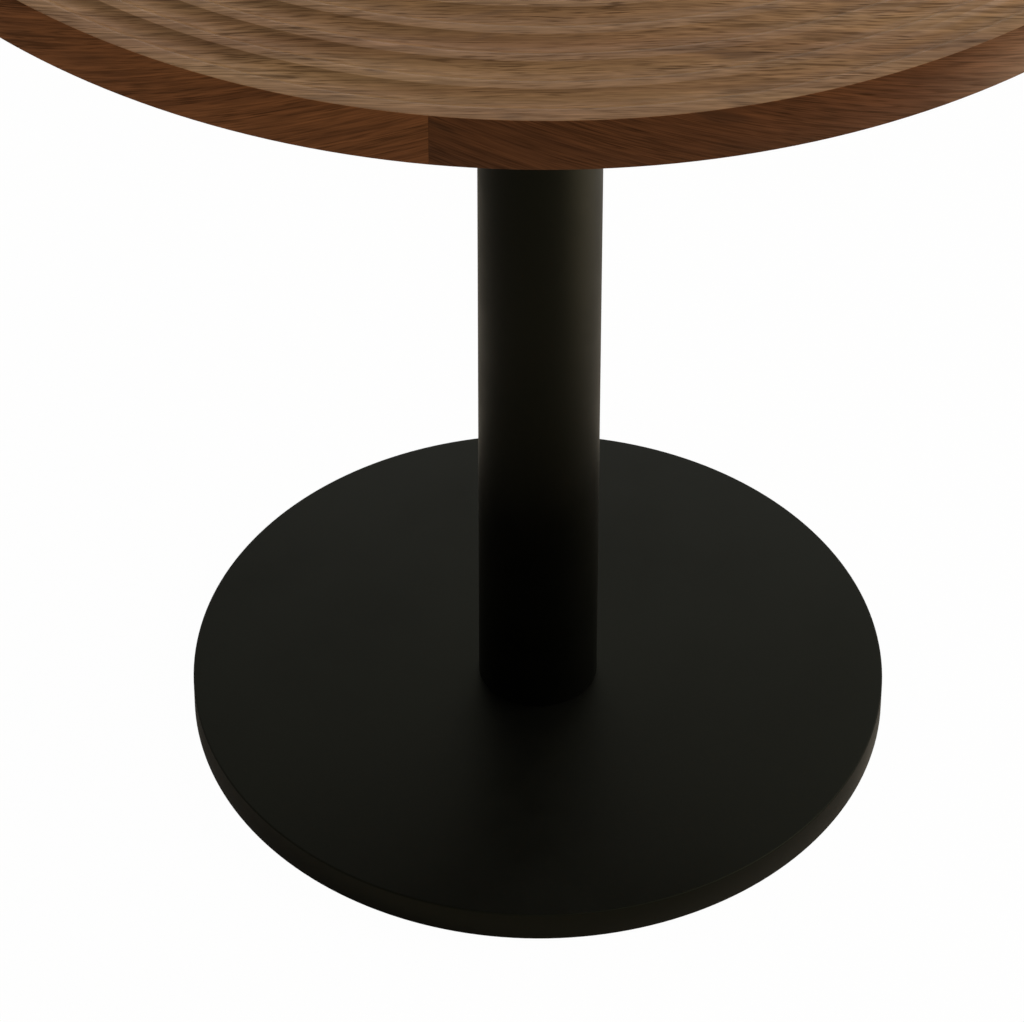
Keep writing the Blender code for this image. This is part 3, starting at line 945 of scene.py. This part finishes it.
@dataclass
class Pedestal:
    """The mounting plate, the column with its spigots, and the disc base."""

    base_ease: float = 0.0010
    base_ease_segments: int = 4
    foot_land: float = 0.004
    plate_ease: float = 0.0008
    plate_ease_segments: int = 3
    tube_wall: float = 0.0025
    tube_ease: float = 0.0004
    rod_hole_radius: float = 0.0075
    slot_radius: float = 0.0034
    slot_travel: float = 0.006
    pocket_radius: float = 0.018
    washer_headroom: float = 0.0003
    recess_radius: float = 0.0165
    recess_depth: float = 0.0053
    stud_hole_radius: float = 0.0043
    stud_hole_depth: float = 0.017
    steps: int = 192
    tube_steps: int = 128
    hole_steps: int = 48

    def __post_init__(self) -> None:
        """Read the pedestal's sizes from the frame."""
        self.base = NodeBox.of("base_plate")
        self.plate = NodeBox.of("top_plate")
        self.tube = NodeBox.of("column_tube")
        self.pocket_top = NodeBox.of("rod_washer_bottom").top + self.washer_headroom
        self.screws = [box.centre for box in NodeBox.row("top_screw", SCREW_COUNT)]
        self.glides = [box.centre for box in NodeBox.row("glide_pad", GLIDE_COUNT)]

    def disc(self) -> Shape:
        """Turn the base, and sink the wrench pocket and the glides' recesses into its underside.

        Returns:
            The base's mesh.
        """
        edge = self.base.reach
        top, bottom = self.base.top, self.base.bottom
        shape = bmesh.new()
        points = wire(shape, [(self.rod_hole_radius, self.pocket_top), (self.rod_hole_radius, top),
                              (edge, top), (edge, bottom), (edge - self.foot_land, bottom)])
        ease(shape, points[2:4], self.base_ease, self.base_ease_segments)
        turn_round(shape, self.steps)
        outer = [line for line in open_edges(shape) if line.verts[0].co.z < bottom + MERGE_DISTANCE]
        pocket = ring_of_edges(shape, ON_AXIS, self.pocket_radius, bottom, self.steps)
        recesses = [ring_of_edges(shape, place, self.recess_radius, bottom, self.hole_steps)
                    for place in self.glides]
        fill_between(shape, outer + pocket + sum(recesses, []))
        rod_way = self.rod_hole_radius / self.pocket_radius
        sink(shape, pocket, ON_AXIS, [(1.0, self.pocket_top), (rod_way, self.pocket_top)], capped=False)
        ceiling = bottom + self.recess_depth
        stud_way = self.stud_hole_radius / self.recess_radius
        for place, recess in zip(self.glides, recesses):
            sink(shape, recess, place,
                 [(1.0, ceiling), (stud_way, ceiling), (1.0, bottom + self.stud_hole_depth)])
        tidy(shape)
        return shape

    def mounting_plate(self) -> Shape:
        """Cut the plate with its rod hole and slots, and ease its outer edges.

        Returns:
            The plate's mesh.
        """
        shape = bmesh.new()
        level = self.plate.bottom
        outer = ring_of_edges(shape, ON_AXIS, self.plate.reach, level, self.steps)
        holes = ring_of_edges(shape, ON_AXIS, self.rod_hole_radius, level, self.hole_steps)
        for place in self.screws:
            holes += slot_of_edges(shape, place, self.slot_radius, self.slot_travel, level,
                                   self.hole_steps // 2)
        thicken(shape, fill_between(shape, outer + holes), self.plate.top - level)
        near_edge = self.plate.reach - EDGE_TOLERANCE
        rims = [line for line in shape.edges if line.verts[0].co.z == line.verts[1].co.z
                and all(vert.co.xy.length > near_edge for vert in line.verts)]
        ease(shape, rims, self.plate_ease, self.plate_ease_segments, "EDGES")
        return shape

    def column(self) -> Shape:
        """Turn the tube of the column."""
        section = self.tube.ring(self.tube.reach - self.tube_wall)
        return turned(section, self.tube_steps, closed=True, eased=self.tube_ease)

    def build(self, finishes: Finishes) -> None:
        """Make and dress the pedestal.

        Args:
            finishes: The table's materials.
        """
        Piece("disc_base", "base_plate", "black_steel").make(self.disc(), finishes.powder_coat)
        Piece("column", "column_tube", "black_steel").make(self.column(), finishes.powder_coat)
        Piece("mounting_plate", "top_plate", "black_steel").make(self.mounting_plate(), finishes.powder_coat)


@dataclass
class TieRod:
    """The rod that clamps the pedestal, with a washer and a nut at each end."""

    nut_across_flats: float = 0.021
    nut_bore: float = 0.0070
    nut_ease: float = 0.0006
    nut_ease_segments: int = 2
    nut_outside_share: float = 0.45
    washer_bore: float = 0.0075
    washer_ease: float = 0.0003
    rod_ease: float = 0.0010
    steps: int = 48

    def nut(self, box: NodeBox) -> Shape:
        """Make a hexagon nut with eased corners.

        Args:
            box: The nut's solid in the frame.

        Returns:
            The nut's mesh.
        """
        shape = bmesh.new()
        outline = hexagon(shape, self.nut_across_flats, box.bottom)
        bore = ring_of_edges(shape, ON_AXIS, self.nut_bore, box.bottom, self.steps)
        thicken(shape, fill_between(shape, outline + bore), box.top - box.bottom)
        outside = self.nut_across_flats * self.nut_outside_share
        corners = [line for line in shape.edges if all(vert.co.xy.length > outside for vert in line.verts)]
        ease(shape, corners, self.nut_ease, self.nut_ease_segments, "EDGES")
        return shape

    def washer(self, box: NodeBox) -> Shape:
        """Turn a flat washer that fills a node's box."""
        return turned(box.ring(self.washer_bore), self.steps, closed=True, eased=self.washer_ease)

    def rod(self, box: NodeBox) -> Shape:
        """Turn the rod with chamfered ends."""
        section = [(0.0, box.bottom), (box.reach, box.bottom), (box.reach, box.top), (0.0, box.top)]
        return turned(section, self.steps, eased=self.rod_ease, ease_segments=1)

    def build(self, finishes: Finishes) -> None:
        """Make and dress the rod, its nuts and its washers.

        Args:
            finishes: The table's materials.
        """
        Piece("clamping_rod", "tie_rod", "zinc_steel").stand_in(self.rod, finishes.zinc)
        for end in End:
            word = end.name.lower()
            nut = Piece(f"hex_nut_{word}", f"rod_nut_{word}", "zinc_steel")
            washer = Piece(f"flat_washer_{word}", f"rod_washer_{word}", "zinc_steel")
            nut.stand_in(self.nut, finishes.zinc)
            washer.stand_in(self.washer, finishes.zinc)


@dataclass
class TopFixings:
    """The flange-head screws under the plate and the inserts that they go into."""

    shank_radius: float = 0.003
    head_height: float = 0.0035
    socket_across_flats: float = 0.004
    socket_depth: float = 0.002
    head_shares: tuple[Point, ...] = ((1.0, 1.0), (1.0, 0.66), (0.93, 0.42), (0.80, 0.16))
    crown_radius: float = 0.0042
    insert_ridges: int = 6
    ridge_depth: float = 0.0007
    insert_bore_spare: float = 0.0003
    steps: int = 40

    def screw(self, box: NodeBox) -> Shape:
        """Turn a screw with a domed flange head and a hexagon socket in it.

        Args:
            box: The screw's solid in the frame.

        Returns:
            The screw's mesh.
        """
        under_head = box.bottom + self.head_height
        head = [(box.half_width * wide, box.bottom + self.head_height * high)
                for wide, high in self.head_shares]
        shape = turned([(0.0, box.top), (self.shank_radius, box.top), (self.shank_radius, under_head), *head,
                        (self.crown_radius, box.bottom)], self.steps)
        close_with_socket(shape, self.socket_across_flats, box.bottom, self.socket_depth)
        return moved(shape, box.centre)

    def insert(self, box: NodeBox) -> Shape:
        """Turn a threaded insert with a ridged outer wall.

        Args:
            box: The insert's solid in the frame.

        Returns:
            The insert's mesh.
        """
        bore = self.shank_radius + self.insert_bore_spare
        section = []
        for index in range(self.insert_ridges + 1):
            level = box.bottom + (box.top - box.bottom) * index / self.insert_ridges
            section.append((box.half_width - self.ridge_depth * (index % 2), level))
        section += [(bore, box.top), (bore, box.bottom)]
        return moved(turned(section, self.steps, closed=True), box.centre)

    def build(self, finishes: Finishes) -> None:
        """Make and dress the screws and the inserts.

        Args:
            finishes: The table's materials.
        """
        for number in range(1, SCREW_COUNT + 1):
            screw = Piece(f"flange_screw_{number}", f"top_screw_{number}", "zinc_steel")
            insert = Piece(f"brass_insert_{number}", f"top_insert_{number}", "brass")
            screw.stand_in(self.screw, finishes.zinc)
            insert.stand_in(self.insert, finishes.brass)


@dataclass
class LevellingGlides:
    """The four nylon pads and the threaded studs that carry them."""

    pad_floor: float = 0.002
    pad_ease: float = 0.0010
    pad_ease_segments: int = 4
    key_hole_radius: float = 0.0045
    room_radius: float = 0.0073
    room_top: float = 0.0056
    neck_radius: float = 0.0043
    stud_head_height: float = 0.003
    stud_shank_radius: float = 0.004
    socket_across_flats: float = 0.005
    socket_depth: float = 0.002
    head_ring_share: float = 0.72
    steps: int = 64

    def pad(self, box: NodeBox) -> Shape:
        """Turn a pad with a rounded foot and room for the stud's head.

        Args:
            box: The pad's solid in the frame.

        Returns:
            The pad's mesh.
        """
        outer, foot = box.half_width, box.bottom
        floor, room = foot + self.pad_floor, foot + self.room_top
        shape = bmesh.new()
        points = wire(shape, [
            (outer, box.top), (outer, foot), (self.key_hole_radius, foot), (self.key_hole_radius, floor),
            (self.room_radius, floor), (self.room_radius, room), (self.neck_radius, room),
            (self.neck_radius, box.top)], closed=True)
        ease(shape, points[:2], self.pad_ease, self.pad_ease_segments)
        turn_round(shape, self.steps)
        return moved(shape, box.centre)

    def stud(self, box: NodeBox) -> Shape:
        """Turn a stud with a flat head and a hexagon socket in it.

        Args:
            box: The stud's solid in the frame.

        Returns:
            The stud's mesh.
        """
        head, head_top = box.half_width, box.bottom + self.stud_head_height
        shape = turned([(0.0, box.top), (self.stud_shank_radius, box.top), (self.stud_shank_radius, head_top),
                        (head, head_top), (head, box.bottom), (head * self.head_ring_share, box.bottom)],
                       self.steps)
        close_with_socket(shape, self.socket_across_flats, box.bottom, self.socket_depth)
        return moved(shape, box.centre)

    def build(self, finishes: Finishes) -> None:
        """Make and dress the pads and the studs, each on its own body.

        Args:
            finishes: The table's materials.
        """
        for number in range(1, GLIDE_COUNT + 1):
            pad, stud = f"glide_pad_{number}", f"glide_stud_{number}"
            Piece(f"nylon_pad_{number}", pad, "black_plastic", pad).stand_in(self.pad, finishes.nylon)
            Piece(f"levelling_stud_{number}", stud, "zinc_steel", stud).stand_in(self.stud, finishes.zinc)


# Studio

@dataclass(frozen=True)
class SoftWindow:
    """A square soft light that faces the table."""

    name: str
    place: Triple
    size: float
    power: float
    mirrored: bool = True
    colour: Colour = (1.0, 0.97, 0.93)

    def build(self, aim: Triple) -> None:
        """Hang the light.

        Args:
            aim: The point that it faces.
        """
        lamp = bpy.data.lights.new(self.name, "AREA")
        lamp.shape = "SQUARE"
        lamp.size = self.size
        lamp.energy = self.power
        lamp.color = self.colour
        light = put_in_scene(self.name, lamp)
        light.location = self.place
        light.rotation_euler = (Vector(self.place) - Vector(aim)).to_track_quat("Z", "Y").to_euler()
        light.visible_glossy = self.mirrored


@dataclass(frozen=True)
class Studio:
    """Pale floor, soft light from the right, and the camera."""

    floor_half_width: float = 9.0
    floor_colour: Colour = (0.66, 0.60, 0.50)
    floor_white_share: float = 0.985
    floor_gloss_dark: float = 0.0
    floor_gloss_bright: float = 0.9
    window_side: Triple = (0.6, 0.8, 0.0)
    window_near: float = 0.35
    window_far: float = 1.6
    sky_front: float = 0.33
    sky_back: float = 0.50
    bright_side: Triple = (1.5, 0.35, 0.0)
    backdrop_start: float = -0.70
    backdrop_end: float = 0.30
    windows: tuple[SoftWindow, ...] = (
        SoftWindow("side_window", (2.69, 0.12, 2.85), size=1.9, power=38.0),
        SoftWindow("side_window_curtain", (2.69, 0.12, 2.85), size=1.9, power=63.0, mirrored=False),
    )
    patch_place: Triple = (1.1, -0.1, 1.5)
    patch_cone: float = math.radians(58.0)
    patch_softness: float = 0.6
    patch_power: float = 280.0
    patch_colour: Colour = (1.0, 0.92, 0.80)
    aim: Triple = (0.0, 0.0, 0.6)
    camera_place: Triple = (0.0, -2.7278, 2.6810)
    camera_pitch: float = math.radians(42.876)
    camera_yaw: float = -0.005679
    camera_roll: float = 0.00101
    lens: float = 224.70
    sensor: float = 36.0
    far_clip: float = 100.0

    def shown_white(self, pen: NodePen, seen: float, mirrored: SocketValue) -> Socket:
        """Work out how white the background is to the rays that show it.

        Args:
            pen: The pen that draws in the background's tree.
            seen: Share of white for camera and transmission rays.
            mirrored: Share of white for glossy rays.

        Returns:
            The share of white, which is 0 for the rays that only light the table.
        """
        path = pen.add("ShaderNodeLightPath").outputs
        direct = pen.calc(path["Is Camera Ray"], path["Is Transmission Ray"], "MAXIMUM")
        shown = pen.calc(direct, seen, "MULTIPLY")
        reflected = pen.calc(path["Is Glossy Ray"], mirrored, "MULTIPLY")
        return pen.calc(shown, reflected, "MAXIMUM")

    def build_floor(self) -> None:
        """Lay the pale floor, which keeps the table's shadow."""
        shape = bmesh.new()
        bmesh.ops.create_grid(shape, x_segments=1, y_segments=1, size=self.floor_half_width)
        mesh = bpy.data.meshes.new("pale_floor")
        shape.to_mesh(mesh)
        shape.free()
        pen, material = new_material("pale_floor")
        matt = pen.add("ShaderNodeBsdfDiffuse", {"Color": opaque(self.floor_colour)})
        glow = pen.add("ShaderNodeEmission", {"Color": opaque(WHITE), "Strength": 1.0})
        where = pen.add("ShaderNodeTexCoord").outputs[GrainSource.OBJECT.value]
        across = pen.add("ShaderNodeVectorMath", {0: where, 1: self.window_side}, operation="DOT_PRODUCT")
        mirrored = pen.span(across.outputs["Value"], self.window_near, self.window_far, self.floor_gloss_dark,
                            self.floor_gloss_bright)
        share = self.shown_white(pen, self.floor_white_share, mirrored)
        mixed = pen.add("ShaderNodeMixShader", {0: share, 1: matt.outputs[0], 2: glow.outputs[0]})
        pen.add("ShaderNodeOutputMaterial", {"Surface": mixed.outputs[0]})
        mesh.materials.append(material)
        floor = put_in_scene("pale_floor", mesh)

    def build_sky(self) -> None:
        """Light the room softly from all round, in front of a white background."""
        world = bpy.data.worlds.new("studio_room")
        world.use_nodes = True
        pen = NodePen(world.node_tree)
        direction = pen.add("ShaderNodeTexCoord").outputs["Generated"]
        backwards = pen.add("ShaderNodeSeparateXYZ", {0: direction}).outputs["Y"]
        across = pen.add("ShaderNodeVectorMath", {0: direction, 1: self.bright_side}, operation="DOT_PRODUCT")
        backdrop = pen.span(across.outputs["Value"], self.backdrop_start, self.backdrop_end)
        plain = pen.span(backwards, -1.0, 1.0, self.sky_front, self.sky_back)
        short_of_white = pen.calc(1.0, plain, "SUBTRACT")
        level = pen.calc(plain, pen.calc(self.shown_white(pen, 1.0, backdrop), short_of_white, "MULTIPLY"))
        back = pen.add("ShaderNodeBackground", {"Color": opaque(WHITE), "Strength": level})
        pen.add("ShaderNodeOutputWorld", {"Surface": back.outputs[0]})
        bpy.context.scene.world = world

    def build_patch(self) -> None:
        """Light the floor to the right of the table, as sun through a window does."""
        lamp = bpy.data.lights.new("sun_on_floor", "SPOT")
        lamp.spot_size = self.patch_cone
        lamp.spot_blend = self.patch_softness
        lamp.energy = self.patch_power
        lamp.color = self.patch_colour
        put_in_scene("sun_on_floor", lamp).location = self.patch_place

    def build_camera(self) -> None:
        """Stand the camera where the photograph was taken."""
        lens = bpy.data.cameras.new("photo_camera")
        lens.lens = self.lens
        lens.sensor_width = self.sensor
        lens.clip_end = self.far_clip
        camera = put_in_scene("photo_camera", lens)
        heading = Matrix.Rotation(-self.camera_yaw, 4, "Z")
        tilt = Matrix.Rotation(math.pi / 2 - self.camera_pitch, 4, "X")
        roll = Matrix.Rotation(self.camera_roll, 4, "Z")
        camera.matrix_world = Matrix.Translation(self.camera_place) @ heading @ tilt @ roll
        bpy.context.scene.camera = camera

    def build(self) -> None:
        """Set up the floor, the light and the camera."""
        self.build_floor()
        self.build_sky()
        for window in self.windows:
            window.build(self.aim)
        self.build_patch()
        self.build_camera()
        bpy.context.scene.view_settings.view_transform = "Standard"


def dress_inside(finishes: Finishes) -> None:
    """Dress the solids of the frame that stay: the spigots inside the column.

    Args:
        finishes: The table's materials.
    """
    for node in ("upper_spigot", "lower_spigot"):
        solid = bpy.data.objects[node]
        solid.data.materials.clear()
        solid.data.materials.append(finishes.powder_coat)
        LOG.info("%s: solid of the frame, dressed", node)


def main() -> None:
    """Build and dress the table, then set up the studio."""
    logging.basicConfig(level=logging.INFO, format="%(name)s: %(message)s")
    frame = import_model()
    LOG.info("frame with %d nodes", len(frame["nodes"]))
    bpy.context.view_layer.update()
    finishes = Finishes()
    WalnutTop().build(finishes)
    Pedestal().build(finishes)
    TieRod().build(finishes)
    TopFixings().build(finishes)
    LevellingGlides().build(finishes)
    dress_inside(finishes)
    Studio().build()


if __name__ == "__main__":
    main()
